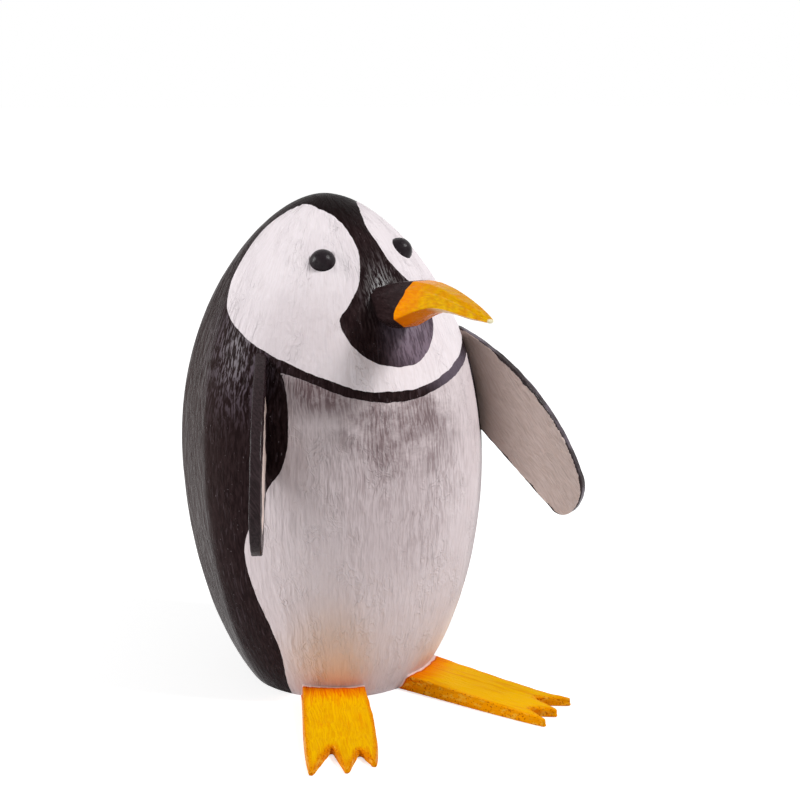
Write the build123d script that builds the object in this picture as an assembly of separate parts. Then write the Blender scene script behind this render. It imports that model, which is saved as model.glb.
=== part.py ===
from build123d import *
from functools import cache
from math import cos, radians, sin, tan
import os

# Carved wooden penguin figurine, 250 mm tall, standing on its sawn base and two plank feet.
# Millimetres. Z is up, the figure faces -Y, and its own left side is +X.
# The origin is the middle of the sawn base, on the table.

# Body and head, one egg-shaped block seen from the side
height = 250.0
belly_radius = 78.2
belly_height = 120.0
side_pull = 75.6            # how strongly the sides run straight up before they turn in
crown_pull = 30.0           # how broad the rounded crown is
heel_pull = 49.5            # how strongly the sides run straight down below the belly
foot_radius = 41.4          # radius of the block's foot before it is sawn off
foot_pull = 35.8            # how far the foot of the block flares out
foot_flare = 48.7           # degrees, slope of that flare
sawn_off = 6.0              # thickness taken off the block's foot by the saw
lean = 3.2                  # degrees that the block leans back

# Flats planed down the back
back_flats = 6
back_flats_start = 82.0     # degrees round from the front, to the first ridge on each side
back_flat_bite = 0.2        # how far the ridges between the flats lie under the block's round
back_flat_reach = 1.03      # how far the flats run towards crown and foot, against the block

# Head: the face is turned a little to the figure's left
face_turn = 3.0             # degrees
eye_spread = {"left": 29.0, "right": 33.1}  # degrees, each eye from the middle of the face
eye_drop = {"left": 28.2, "right": 31.6}    # below the crown, along the block's axis
eye_diameter = 12.7
eye_dome = 5.0
eye_peg_diameter = 5.0
eye_peg_length = 12.0
eye_seat_depth = 0.7        # shallow flat spot that the eye's rim stands on

# Beak, each station: reach in front of its seat, then underside and top against the seat's middle, width
beak_stations = (
    (-12.0, -12.0, 10.6, 19.0),
    (12.0, -6.8, 15.3, 19.0),
    (30.0, -0.4, 17.8, 17.0),
    (46.0, 4.8, 16.6, 14.0),
    (62.0, 4.6, 12.8, 10.4),
    (73.0, 4.0, 9.0, 7.0),
    (80.6, 3.8, 5.8, 3.4),
)
beak_top_flat = 0.55        # share of the width that the top flat takes
beak_shoulder = 0.80        # share of the height where the sides begin
beak_gape = 0.20            # share of the height where the sides end, the line of the mouth
beak_keel = 0.40            # share of the width that the underside takes
beak_drop = 54.0            # middle of the beak's seat, below the crown
beak_let_in = 4.4           # how far the flat seat lies behind the face, measured level
beak_rise = 12.3            # degrees that the beak's root points up
beak_dowel_diameter = 8.0
beak_dowel_length = 40.0

# Flippers, planks on edge let into the sides
flipper_thickness = 6.0
flipper_edge_round = 1.0
flipper_spread = 29.7       # degrees, outwards from straight ahead
flipper_offset = 35.4       # from the middle of the base to the middle of the plank
flipper_droop = 42.8        # degrees, lower edge below level
flipper_drop = {"left": 67.4, "right": 71.4}    # upper end of the root line, below the crown
flipper_root_rise = 52.8    # from the lower to the upper end of the root line
flipper_blade = {"left": 63.5, "right": 52.5}   # lower edge, from the body to the tip
flipper_crest = -1.0        # where the upper edge is furthest from the lower one
flipper_crest_rise = 8.0    # how far the crest stands above the root's upper end
flipper_end_width = 19.5
flipper_end_flat = 1.6      # straight bit of the end left between its two rounds
flipper_tail_round = 8.0
flipper_housing = 8.0       # depth that the root is let in
flipper_dowel_wall = 0.9    # wood left on each side of a dowel's hole
flipper_dowel_length = 24.0
flipper_dowel_places = {"lower": 0.27, "upper": 0.73}   # shares of the root line

# Feet, planks let into the base with three toes sawn by eye in each
foot_splay = 24.5           # degrees, outwards from straight ahead
foot_width = 32.4
foot_length = 86.0          # from the body to the corner that the longest toe was cut from
foot_tongue = 24.0          # hidden length under the body
foot_tongue_gap = 4.4       # between the inner corners of the two tongues
foot_tongue_thickness = 9.6
foot_heel_thickness = 8.7   # where the foot leaves the body
foot_notch_thickness = {"left": 5.8, "right": 4.8}
foot_tip_thickness = {"left": 4.0, "right": 2.8}
foot_notch_setback = 26.0   # where the foot has its notch thickness, back from its length
foot_waist_setback = 41.0
foot_outer_waist = {"left": 0.80, "right": 1.10}    # across at the waist, shares of half the width
foot_inner_waist = {"left": -1.04, "right": -1.05}
# Toe corners and the notches between them: back from the foot's length, across as a share of half the width
outer_toe = {"left": (1.0, 1.13), "right": (0.5, 1.05)}
outer_notch = {"left": (23.9, 0.23), "right": (27.5, 0.33)}
middle_toe = {"left": (5.1, -0.05), "right": (1.1, 0.02)}
inner_notch = {"left": (19.5, -0.55), "right": (23.5, -0.44)}
inner_toe = {"left": (1.2, -0.96), "right": (6.5, -0.82)}
toe_round = 1.4
notch_round = 0.4
foot_edge_round = 0.9
screw_diameter = 3.5
screw_head_diameter = 7.0
screw_head_height = 2.2
screw_length = 22.0
screw_places = {"front": 0.29, "rear": 0.71}    # shares of the tongue, from the body's edge
screw_sink = 0.4            # the heads lie this far above the sole

# Glue and assembly clearance round pegs, dowels, screws and let-in roots
clearance = 0.1
hole_end_gap = 0.8

sides = ("left", "right")


def egg_outline(radius_share=1.0, height_share=1.0):
    """Half outline of the block in the XZ plane, as its lower and upper curves."""
    def at(x, z):
        return (x * radius_share, 0, belly_height + (z - belly_height) * height_share)

    flare = Vector(foot_pull, 0, 0).rotate(Axis.Y, -foot_flare)
    lower = Bezier(
        at(foot_radius, -sawn_off),
        at(foot_radius + flare.X, -sawn_off + flare.Z),
        at(belly_radius, belly_height - heel_pull),
        at(belly_radius, belly_height),
    )
    upper = Bezier(
        at(belly_radius, belly_height),
        at(belly_radius, belly_height + side_pull),
        at(crown_pull, height),
        at(0, height),
    )
    return lower, upper


def turned_block():
    """The egg, turned as one round block about its own axis."""
    lower, upper = egg_outline()
    axis_line = Polyline(upper @ 1, (0, 0, -sawn_off), lower @ 0)
    return revolve(make_face([lower, upper, axis_line]), Axis.Z)


def back_plane_cutter(flat_angle):
    """Everything outside one planed flat, for a flat that faces +X."""
    ridge_share = 1 - back_flat_bite / belly_radius
    flat_share = ridge_share * cos(radians(flat_angle / 2))
    lower, upper = egg_outline(flat_share, back_flat_reach)
    far = 2 * belly_radius
    beyond = height
    outside = Polyline(
        upper @ 1,
        (0, 0, height + beyond),
        (far, 0, height + beyond),
        (far, 0, -beyond),
        ((lower @ 0).X, 0, -beyond),
        lower @ 0,
    )
    return extrude(make_face([lower, upper, outside]), belly_radius, both=True)


def leaned(shape):
    """Tip a piece of the head or block back about the middle of the base."""
    return Rot(-lean, 0, 0) * shape


@cache
def plain_block():
    """The leaning block before anything is planed off or cut in it."""
    return leaned(turned_block())


def way_out(start, ahead):
    """Where a line from inside the plain block leaves it, and the surface's slope there."""
    crossings = plain_block().find_intersection_points(Axis(start, ahead))
    return max(crossings, key=lambda crossing: (crossing[0] - start).dot(ahead))


def sided(shape, side):
    """A shape drawn for the left side of the figure, or its mirror image for the right."""
    return shape if side == "left" else mirror(shape, about=Plane.YZ)


def face_surface(turn, level):
    """Frame on the block's surface: Z out of the wood, at an angle round and a level up."""
    lower, upper = egg_outline()
    side = upper if level > belly_height else lower
    share = bisect_level(side, level)
    spot = side @ share
    along = side % share
    outward = Vector(along.Z, 0, -along.X)
    frame = Plane(origin=spot, x_dir=(0, 1, 0), z_dir=outward)
    return Rot(0, 0, turn - 90) * frame.location


def bisect_level(side, level):
    """Place along an outline curve, as a share, where it reaches a level."""
    low, high = 0.0, 1.0
    for _ in range(40):
        middle = (low + high) / 2
        if (side @ middle).Z < level:
            low = middle
        else:
            high = middle
    return low


def eye_place(side):
    """Frame of one eye's flat spot on the upright block."""
    spread = eye_spread[side] if side == "left" else -eye_spread[side]
    surface = face_surface(face_turn + spread, height - eye_drop[side])
    return surface * Pos(0, 0, -eye_seat_depth)


def eye():
    """Domed eye turned in one with its peg, rim on the frame's XY plane."""
    rim = eye_diameter / 2
    peg = eye_peg_diameter / 2
    dome = TangentArc((0, 0, eye_dome), (rim, 0, 0), tangent=(1, 0, 0))
    rest = Polyline(dome @ 1, (peg, 0, 0), (peg, 0, -eye_peg_length), (0, 0, -eye_peg_length), dome @ 0)
    return revolve(make_face([dome, rest]), Axis.Z)


def eye_socket():
    """Flat spot and peg hole for one eye."""
    spot_radius = eye_diameter / 2 + clearance
    spot = Cylinder(spot_radius, eye_dome, align=(Align.CENTER, Align.CENTER, Align.MIN))
    hole_length = eye_peg_length + hole_end_gap
    hole = Cylinder(
        eye_peg_diameter / 2 + clearance,
        hole_length,
        align=(Align.CENTER, Align.CENTER, Align.MAX),
    )
    return spot + hole


def beak_section(reach, underside, top, width, grow=0.0):
    """Eight-sided section of the beak, upright across its length."""
    tall = top - underside
    shape = (
        (beak_keel / 2, 0.0),
        (0.5, beak_gape),
        (0.5, beak_shoulder),
        (beak_top_flat / 2, 1.0),
    )
    right = []
    for across, up in shape:
        spread = across * (width + 2 * grow)
        level = underside - grow + up * (tall + 2 * grow)
        right.append((spread, -reach, level))
    left = [(-x, y, z) for x, y, z in reversed(right)]
    return make_face(Polyline(*right, *left, close=True))


def beak_seat():
    """Plane of the flat seat let into the face, with the face's own slope."""
    level = Vector(0, 0, height - beak_drop)
    face, outward = way_out(level, Vector(0, -1, 0))
    return Plane(origin=face + Vector(0, beak_let_in, 0), x_dir=(1, 0, 0), z_dir=outward)


def beak_axis():
    """Frame at the seat with Z along the beak's root, for its dowel."""
    along = Vector(0, -1, 0).rotate(Axis.X, -beak_rise)
    return Plane(origin=beak_seat().origin, x_dir=(1, 0, 0), z_dir=along)


def turned_face(shape):
    """Turn what was drawn facing -Y to the way the face looks."""
    return Rot(0, 0, face_turn) * shape


def beak_dowel(grow=0.0, end_gap=0.0):
    """Dowel half in the beak and half in the head, or its hole."""
    rod = Cylinder(beak_dowel_diameter / 2 + grow, beak_dowel_length + 2 * end_gap)
    return turned_face(beak_axis().location * rod)


def horn(grow=0.0):
    """The beak's carved form, drooping at the tip and cut flat at the seat."""
    seat = beak_seat()
    sections = [beak_section(*station, grow=grow) for station in beak_stations]
    carved = Pos(*seat.origin) * loft(sections)
    return turned_face(split(carved, bisect_by=seat, keep=Keep.TOP))


def beak():
    """Beak with the hole for its dowel."""
    return horn() - beak_dowel(clearance, hole_end_gap)


def flipper_frame():
    """Frame of the left flipper: X along its reach, Y up, origin beside the middle of the base."""
    middle = Vector(flipper_offset, 0, 0).rotate(Axis.Z, flipper_spread)
    ahead = Vector(0, -1, 0).rotate(Axis.Z, flipper_spread)
    return Plane(origin=middle, x_dir=ahead, z_dir=-middle)


def flipper_root_end(level):
    """Where the flipper's plane leaves the block at one level, in the flipper's frame."""
    frame = flipper_frame()
    start = frame.from_local_coords(Vector(0, level, 0))
    leaving, _ = way_out(start, frame.x_dir)
    return frame.to_local_coords(leaving)


@cache
def flipper_root(side):
    """Lower and upper end of one flipper's root line, in the flipper's frame."""
    upper_level = height - flipper_drop[side]
    return flipper_root_end(upper_level - flipper_root_rise), flipper_root_end(upper_level)


def flipper_blade_frame(side):
    """Place of one flipper's heel in its frame, X along the lower edge."""
    heel, _ = flipper_root(side)
    return Pos(*heel) * Rot(0, 0, -flipper_droop)


def flipper_root_line(side):
    """The root line from the heel up, in the blade's frame."""
    heel, top = flipper_root(side)
    return (top - heel).rotate(Axis.Z, flipper_droop)


def flipper_inward(side):
    """Direction square to the root line, into the body, in the blade's frame."""
    return flipper_root_line(side).normalized().rotate(Axis.Z, 90)


def nearest_corner(shape, spot):
    """The corner of a flat shape that lies nearest to a spot."""
    return shape.vertices().sort_by_distance(Vector(*spot))[0]


def flipper_outline(side):
    """Side view of one flipper with its let-in root, heel at the origin."""
    top = flipper_root_line(side)
    let_in = flipper_inward(side) * flipper_housing
    crest = (flipper_crest, top.Y + flipper_crest_rise)
    nose = (flipper_blade[side], flipper_end_width)
    tail = (flipper_blade[side], 0)
    rear_edge = TangentArc(crest, top, tangent=(-1, 0))
    front_edge = TangentArc(crest, nose, tangent=(1, 0))
    rest = Polyline(nose, tail, (0, 0), let_in, top + let_in, top)
    outline = make_face([rear_edge, front_edge, rest])
    turn = (front_edge % 1).get_angle(Vector(0, -1, 0))
    room = flipper_end_width - flipper_end_flat - flipper_tail_round
    nose_round = room / tan(radians(turn / 2))
    outline = fillet([nearest_corner(outline, nose)], nose_round)
    return fillet([nearest_corner(outline, tail)], flipper_tail_round)


def flipper_dowel(side, place, grow=0.0, end_gap=0.0):
    """One of the dowels across the root of a flipper, or its hole, in the blade's frame."""
    middle = flipper_root_line(side) * place + flipper_inward(side) * flipper_housing
    along = Plane(origin=middle, x_dir=(0, 0, 1), z_dir=flipper_inward(side))
    radius = flipper_thickness / 2 - flipper_dowel_wall - clearance
    return along.location * Cylinder(radius + grow, flipper_dowel_length + 2 * end_gap)


def flipper(side):
    """One flipper in its blade's frame, with its dowel holes, rounded where it stands clear."""
    plank = extrude(flipper_outline(side), flipper_thickness / 2, both=True)
    faces = plank.faces().sort_by(Axis.Z)
    rims = faces[0].edges() + faces[-1].edges()
    inward = flipper_inward(side)
    clear_rims = [rim for rim in rims if rim.center().dot(inward) < 0]
    plank = fillet(clear_rims, flipper_edge_round)
    for place in flipper_dowel_places.values():
        plank -= flipper_dowel(side, place, clearance, hole_end_gap)
    return plank


def flipper_housing_cutter(side):
    """Slot and dowel holes that one flipper needs in the body, in the blade's frame."""
    outline = offset(flipper_outline(side), clearance, kind=Kind.INTERSECTION)
    slot = extrude(outline, flipper_thickness / 2 + clearance, both=True)
    for place in flipper_dowel_places.values():
        slot += flipper_dowel(side, place, clearance, hole_end_gap)
    return slot


def on_flipper(shape, side):
    """Carry a shape from the blade's frame to its side of the body."""
    return sided(flipper_frame().location * flipper_blade_frame(side) * shape, side)


def foot_frame():
    """Frame of the left foot on the table: X towards the toes, Y outwards, origin at the body."""
    ahead = Vector(0, -1, 0).rotate(Axis.Z, foot_splay)
    tongue_spread = foot_tongue * sin(radians(foot_splay))
    corner_spread = foot_width / 2 * cos(radians(foot_splay))
    middle_x = foot_tongue_gap / 2 + tongue_spread + corner_spread
    edge, _ = way_out(Vector(middle_x, 0, foot_heel_thickness), Vector(0, -1, 0))
    return Plane(origin=(edge.X, edge.Y, 0), x_dir=ahead, z_dir=(0, 0, 1))


def foot_spot(setback, share, half):
    """A place in the foot's plan, back from its length and across as a share of half the width."""
    return (foot_length - setback, share * half)


def foot_outline(side, grow=0.0):
    """Plan of one foot: tongue, plank and three toes with notches between."""
    half = foot_width / 2 + grow
    outer_waist = foot_spot(foot_waist_setback, foot_outer_waist[side], half)
    inner_waist = foot_spot(foot_waist_setback, foot_inner_waist[side], half)
    corners = (outer_toe, outer_notch, middle_toe, inner_notch, inner_toe)
    spots = [foot_spot(*corner[side], half) for corner in corners]
    outer_side = Spline((-foot_tongue, half), (0, half), outer_waist, spots[0])
    inner_side = Spline(spots[-1], inner_waist, (0, -half), (-foot_tongue, -half))
    tongue_end = Line(inner_side @ 1, outer_side @ 0)
    plan = make_face([outer_side, Polyline(*spots), inner_side, tongue_end])
    for number, spot in enumerate(spots):
        rounding = notch_round if number % 2 else toe_round
        plan = fillet([nearest_corner(plan, spot)], rounding)
    return plan


def foot_side_view(side):
    """Everything under the top of one foot, which falls in one sweep from tongue to toes."""
    top = Spline(
        (-foot_tongue, 0, foot_tongue_thickness),
        (0, 0, foot_heel_thickness),
        (foot_length - foot_notch_setback, 0, foot_notch_thickness[side]),
        (foot_length, 0, foot_tip_thickness[side]),
    )
    below = -foot_heel_thickness
    rest = Polyline(top @ 1, (foot_length, 0, below), (-foot_tongue, 0, below), top @ 0)
    return extrude(make_face([top, rest]), foot_width, both=True)


def screw(grow=0.0, end_gap=0.0):
    """Countersunk wood screw pointing up, head at the bottom, or the hole for it."""
    head = screw_head_diameter / 2 + grow
    shank = screw_diameter / 2 + grow
    end = screw_length + end_gap
    outline = Polyline(
        (0, 0, 0),
        (head, 0, 0),
        (shank, 0, screw_head_height),
        (shank, 0, end),
        (0, 0, end),
        close=True,
    )
    return Pos(0, 0, screw_sink) * revolve(make_face(outline), Axis.Z)


def screw_hole():
    """Countersunk hole through the tongue for one screw, open at the sole."""
    mouth = Cylinder(screw_head_diameter / 2 + clearance, 2 * screw_sink)
    return screw(clearance, hole_end_gap) + mouth


def screw_spot(place):
    """Where a screw stands in the foot's frame."""
    return Pos(-foot_tongue * screw_places[place], 0, 0)


def is_upper_rim(edge):
    """True for an edge round the top of a foot."""
    lowest = min(edge.start_point().Z, edge.end_point().Z)
    return lowest > min(foot_tip_thickness.values()) / 2 and edge.center().X > -foot_tongue


def foot(side):
    """One foot in its own frame, with the screw holes in its tongue."""
    plank = extrude(foot_outline(side), foot_tongue_thickness) & foot_side_view(side)
    plank = fillet(plank.edges().filter_by(is_upper_rim), foot_edge_round)
    for place in screw_places:
        plank -= screw_spot(place) * screw_hole()
    return plank


def foot_notch(side):
    """Room for a foot's tongue and its screws in the body."""
    tall = foot_tongue_thickness + clearance
    room = extrude(foot_outline(side, clearance), tall) & Pos(0, 0, clearance) * foot_side_view(side)
    for place in screw_places:
        room += screw_spot(place) * screw(clearance, hole_end_gap)
    return room


def on_foot(shape, side):
    """Carry a shape from the foot's frame to its side of the body."""
    return sided(foot_frame().location * shape, side)


def body():
    """The block with its planed back, sawn flat, with every seat and hole cut in."""
    block = turned_block()
    flat_angle = (360 - 2 * back_flats_start) / back_flats
    cutter = back_plane_cutter(flat_angle)
    for index in range(back_flats):
        turn = back_flats_start + flat_angle * (index + 0.5) - 90
        block -= Rot(0, 0, turn) * cutter
    for side in sides:
        block -= eye_place(side) * eye_socket()
    block = leaned(block)
    block = split(block, bisect_by=Plane.XY, keep=Keep.TOP)
    block -= horn(clearance)
    block -= beak_dowel(clearance, hole_end_gap)
    for side in sides:
        block -= on_flipper(flipper_housing_cutter(side), side)
        block -= on_foot(foot_notch(side), side)
    return block


def all_pieces():
    """Every piece of the figurine by name."""
    pieces = {"body": body(), "beak": beak(), "beak_dowel": beak_dowel()}
    for side in sides:
        pieces[f"{side}_eye"] = leaned(eye_place(side) * eye())
        pieces[f"{side}_flipper"] = on_flipper(flipper(side), side)
        for name, place in flipper_dowel_places.items():
            pieces[f"{side}_flipper_dowel_{name}"] = on_flipper(flipper_dowel(side, place), side)
        pieces[f"{side}_foot"] = on_foot(foot(side), side)
        for place in screw_places:
            pieces[f"{side}_foot_screw_{place}"] = on_foot(screw_spot(place) * screw(), side)
    return pieces


os.makedirs("parts", exist_ok=True)
for node, piece in all_pieces().items():
    export_step(piece, f"parts/{node}.step")
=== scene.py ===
import math

import bmesh
import bpy
import numpy as np
from mathutils import Matrix, Vector, kdtree, noise
from mathutils.geometry import interpolate_bezier


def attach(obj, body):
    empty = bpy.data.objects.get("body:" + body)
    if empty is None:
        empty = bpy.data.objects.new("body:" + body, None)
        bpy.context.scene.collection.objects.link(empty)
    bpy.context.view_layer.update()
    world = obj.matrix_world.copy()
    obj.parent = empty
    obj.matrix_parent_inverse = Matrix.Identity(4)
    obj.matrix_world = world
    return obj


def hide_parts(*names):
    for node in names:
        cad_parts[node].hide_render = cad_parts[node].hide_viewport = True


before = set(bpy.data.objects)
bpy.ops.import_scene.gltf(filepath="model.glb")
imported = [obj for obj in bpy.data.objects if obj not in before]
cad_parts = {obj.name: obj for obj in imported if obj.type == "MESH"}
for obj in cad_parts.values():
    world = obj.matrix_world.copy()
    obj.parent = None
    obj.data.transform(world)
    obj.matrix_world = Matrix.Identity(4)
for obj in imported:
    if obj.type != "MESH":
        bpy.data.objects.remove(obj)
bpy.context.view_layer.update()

# Looks of a carved and painted wooden penguin. Lengths are in millimetres times mm, which is metres.
mm = 0.001

# Body and head, one egg-shaped block, the same outline as the solid's
height = 250.0 * mm
belly_radius = 78.2 * mm
belly_height = 120.0 * mm
side_pull = 75.6 * mm
crown_pull = 30.0 * mm
heel_pull = 49.5 * mm
foot_radius = 41.4 * mm
foot_pull = 35.8 * mm
foot_flare = math.radians(48.7)
sawn_off = 6.0 * mm
lean = math.radians(3.2)
curve_points = 400          # points that each of the outline's two curves is measured with
outline_faces = 236         # evenly long faces from the outline's foot to its crown
turn_steps = 350            # faces round the block

# Flats planed down the back
back_flats = 6
back_flats_start = math.radians(82.0)
back_flat_bite = 0.2 * mm
back_flat_reach = 1.03
ridge_softness = 0.9 * mm   # how far the ridges between the flats are worn down
least_facing = 0.2          # a flat cuts nothing that is turned further from it than this cosine

# Where things stand on the block, for paint
flipper_spread = math.radians(29.7)
flipper_offset = 35.4 * mm
foot_splay = math.radians(24.5)

# Black paint carried over from the rim onto the inner face of each flipper
flipper_black_margin = {"left": 0.4 * mm, "right": 8.5 * mm}

# Brush strokes run up the skin as if it had this radius all the way, so they narrow to the crown
stroke_radius = 66 * mm

# Width over which one paint gives way to another, to each side of its outline
paint_edge = 0.12 * mm

# Scale of a pattern that is only turned
unstretched = (1, 1, 1)

# Sizes of the small faces that the carved pieces are made of
beak_cell = 0.5 * mm
flipper_cell = 0.55 * mm
foot_cell = 0.55 * mm
weld = 0.01 * mm            # corners nearer than this are one
uncut_sole = 1.0 * mm       # the knife leaves the feet alone below this level

# Camera and stage. The floor shines by itself a little less near the figure, so its shadow shows.
camera_place = Vector((-358.2, -651.7, 296.6)) * mm
camera_aim = Vector((0, -53.1, 153.7)) * mm
camera_lens = 66.36
camera_film = 36.0
camera_shift = 0.01125
lamp_distance = 1.9
lamp_aim = Vector((0, 0, 120)) * mm
floor_half = 40.0
floor_grey = 0.8
floor_shine_near = 0.62
floor_shine_far = 0.9
shine_starts = 0.3
shine_full = 2.2
surrounding_light = 0.16
plain_white = (1.0, 1.0, 1.0, 1.0)

# Outlines of the painted fields: degrees round from the front, and millimetres above the table
cheek_outer = (
    (-64, 244.8), (-84.5, 239.8), (-92.2, 230.8), (-91.8, 219.9), (-90.6, 209.1), (-84.7, 198.9),
    (-77.5, 192.1), (-61, 182),
)
near_jaw = ((-44, 174.1), (-31, 168.1), (-20, 162.9), (-10, 160.6))
chin = (3, 160.4)
far_jaw = ((12.3, 162.0), (23, 165.4), (34.8, 170.1), (47, 175.4))
cheek_nose_side = (
    (-20.2, 197.8), (-15.4, 203.9), (-11.2, 210.8), (-8.2, 218.8), (-7.2, 225.9), (-9.7, 233.2),
    (-18, 239.6), (-36, 243.2), (-50, 244.6),
)
far_cheek_nose_side = (
    (46, 245.2), (31, 244.2), (18.6, 241), (11.2, 236.6), (9.4, 232), (10.4, 226), (11.8, 220),
    (15, 213.5), (19.4, 208.6), (23.6, 202), (25.6, 196),
)
bib_far = ((24.4, 190.1), (21.4, 183.8), (15.4, 177.2), (8, 172.1))
bib_bottom = (0, 171.3)
bib_near = ((-8, 173), (-13.6, 176.5), (-19.2, 182.6), (-22.2, 188.5))
bib_corner = (-23.2, 193.9)
face_middle = 1.5           # degrees, the outlines are mirrored about it where the far side isn't given
collar = (
    (-40, 167.5), (-31.5, 163.6), (-23, 159.4), (-14, 156.7), (-5, 155.4), (4, 155.9),
    (16.5, 158.9), (31, 163.4),
)
belly_side = (
    (-47.5, 170), (-45.5, 165.8), (-44, 157), (-43.6, 144), (-44.5, 132.7), (-46.8, 124),
    (-52, 115), (-59, 98), (-63.5, 85.7), (-64.2, 74), (-62.6, 59.6), (-59.5, 46),
    (-57.3, 34.8), (-57, 24.6), (-59, 13.5), (-62, -6),
)


# The block's outline and the places on it

def block_outline():
    """Half outline of the block from its foot to its crown, as evenly spaced points."""
    flare = Vector((math.cos(foot_flare), 0, math.sin(foot_flare))) * foot_pull
    foot = Vector((foot_radius, 0, -sawn_off))
    belly = Vector((belly_radius, 0, belly_height))
    crown = Vector((0, 0, height))
    up = Vector((0, 0, 1))
    lower = interpolate_bezier(foot, foot + flare, belly - up * heel_pull, belly, curve_points)
    shoulder = belly + up * side_pull
    brow = crown + Vector((crown_pull, 0, 0))
    upper = interpolate_bezier(belly, shoulder, brow, crown, curve_points)
    line = np.array([tuple(spot) for spot in lower + upper[1:]])
    runs = np.linalg.norm(np.diff(line, axis=0), axis=1)
    reached = np.concatenate(([0.0], np.cumsum(runs)))
    stops = np.linspace(0.0, reached[-1], outline_faces + 1)
    even = np.stack([np.interp(stops, reached, line[:, axis]) for axis in range(3)], axis=1)
    return even, stops


outline, outline_reach = block_outline()


def radius_at(level):
    """Radius of the upright block at a level, before its back is planed."""
    return np.interp(level, outline[:, 2], outline[:, 0])


def reach_at(level):
    """Way from the block's foot along its skin up to a level."""
    return np.interp(level, outline[:, 2], outline_reach)


def upright(places):
    """Places in the upright block's own frame, taken from places on the leaning block."""
    return places @ np.array(Matrix.Rotation(-lean, 3, "X"))


def leaned(places):
    """Places on the leaning block, taken from its upright frame."""
    return places @ np.array(Matrix.Rotation(-lean, 3, "X")).T


def turn_of(places):
    """Angle round from the front of places in the upright frame, the figure's left counted up."""
    return np.arctan2(places[:, 0], -places[:, 1])


def plane_back(places):
    """Places with the flats planed off, the ridges between them slightly worn."""
    turn = turn_of(places)
    radius = np.hypot(places[:, 0], places[:, 1])
    ridge_share = 1 - back_flat_bite / belly_radius
    flat_angle = (2 * math.pi - 2 * back_flats_start) / back_flats
    level = belly_height + (places[:, 2] - belly_height) / back_flat_reach
    flat_distance = radius_at(level) * ridge_share * math.cos(flat_angle / 2)
    planed = radius.copy()
    for index in range(back_flats):
        middle = back_flats_start + flat_angle * (index + 0.5)
        away = np.cos(turn - middle)
        reach = flat_distance / np.maximum(away, least_facing)
        limit = np.where(away > least_facing, reach, 1.0)
        kept = np.clip(0.5 + 0.5 * (limit - planed) / ridge_softness, 0, 1)
        planed = limit * (1 - kept) + planed * kept - ridge_softness * kept * (1 - kept)
    share = np.minimum(planed / np.maximum(radius, 0.01 * mm), 1.0)
    result = places.copy()
    result[:, 0] *= share
    result[:, 1] *= share
    return result


# Painted fields

def smooth_line(spots, steps=5):
    """More places along a smooth open line through a few spots."""
    spots = np.array(spots, float)
    ends = np.vstack([2 * spots[0] - spots[1], spots, 2 * spots[-1] - spots[-2]])
    line = []
    for index in range(len(spots) - 1):
        before, start, stop, after = ends[index:index + 4]
        for share in np.arange(steps) / steps:
            pull = (stop - before) * share + (2 * before - 5 * start + 4 * stop - after) * share ** 2
            line.append(start + 0.5 * (pull + (3 * start - before - 3 * stop + after) * share ** 3))
    line.append(spots[-1])
    return line


def mirrored(spots):
    """Spots on the far side of the face, in the opposite order."""
    return [(2 * face_middle - turn, level) for turn, level in reversed(spots)]


def flat_map(turns, levels):
    """Places on a flat map of the block's skin: way round and way up."""
    return np.stack([turns * radius_at(levels), reach_at(levels)], axis=1)


def field_outline(lines):
    """Closed outline of a painted field on the flat map, from smooth lines joined at corners."""
    spots = np.array([spot for line in lines for spot in smooth_line(line)])
    return flat_map(np.radians(spots[:, 0]), spots[:, 1] * mm)


def white_face_outline():
    """The two cheeks and the chin, round the black stripe, beak root and bib."""
    jaw = list(near_jaw) + [chin] + list(far_jaw)
    outer = list(cheek_outer) + jaw + mirrored(cheek_outer)
    far_bib = [far_cheek_nose_side[-1]] + list(bib_far) + [bib_bottom] + list(bib_near) + [bib_corner]
    near_cheek = [bib_corner] + list(cheek_nose_side) + [cheek_outer[0]]
    far_cheek = [outer[-1]] + list(far_cheek_nose_side)
    return field_outline([outer, far_cheek, far_bib, near_cheek])


def white_belly_outline():
    """The white belly below the collar, down to the table."""
    near_side = list(reversed(belly_side))
    far_side = mirrored(near_side)
    top = [belly_side[0]] + list(collar) + [far_side[0]]
    return field_outline([near_side, top, far_side])


def inside_distance(places, closed_line):
    """Distance of each place from a closed line on the flat map, counted up inside it."""
    start = closed_line
    stop = np.roll(closed_line, -1, axis=0)
    nearest = np.full(len(places), 1e9)
    crossings = np.zeros(len(places), int)
    for a, b in zip(start, stop):
        run = b - a
        along = np.clip((places - a) @ run / max(run @ run, 1e-12), 0, 1)
        gap = places - a - along[:, None] * run
        nearest = np.minimum(nearest, np.hypot(gap[:, 0], gap[:, 1]))
        if a[1] != b[1]:
            beside = (a[1] > places[:, 1]) != (b[1] > places[:, 1])
            meet = a[0] + (places[:, 1] - a[1]) * run[0] / run[1]
            crossings += beside & (places[:, 0] < meet)
    return np.where(crossings % 2 == 1, nearest, -nearest)


# Mesh helpers

def places_of(mesh):
    """Places of a mesh's vertices as an array."""
    flat = np.empty(len(mesh.vertices) * 3)
    mesh.vertices.foreach_get("co", flat)
    return flat.reshape(-1, 3)


def normals_of(mesh):
    """Normals of a mesh's vertices as an array."""
    flat = np.empty(len(mesh.vertices) * 3, np.float32)
    mesh.vertex_normals.foreach_get("vector", flat)
    return flat.reshape(-1, 3)


def set_places(mesh, places):
    """Move a mesh's vertices."""
    mesh.vertices.foreach_set("co", places.astype(np.float32).ravel())
    mesh.update()


def keep_value(mesh, name, values):
    """Keep one number for each vertex where a material can read it."""
    layer = mesh.attributes.new(name, "FLOAT", "POINT")
    layer.data.foreach_set("value", values.astype(np.float32))


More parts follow.
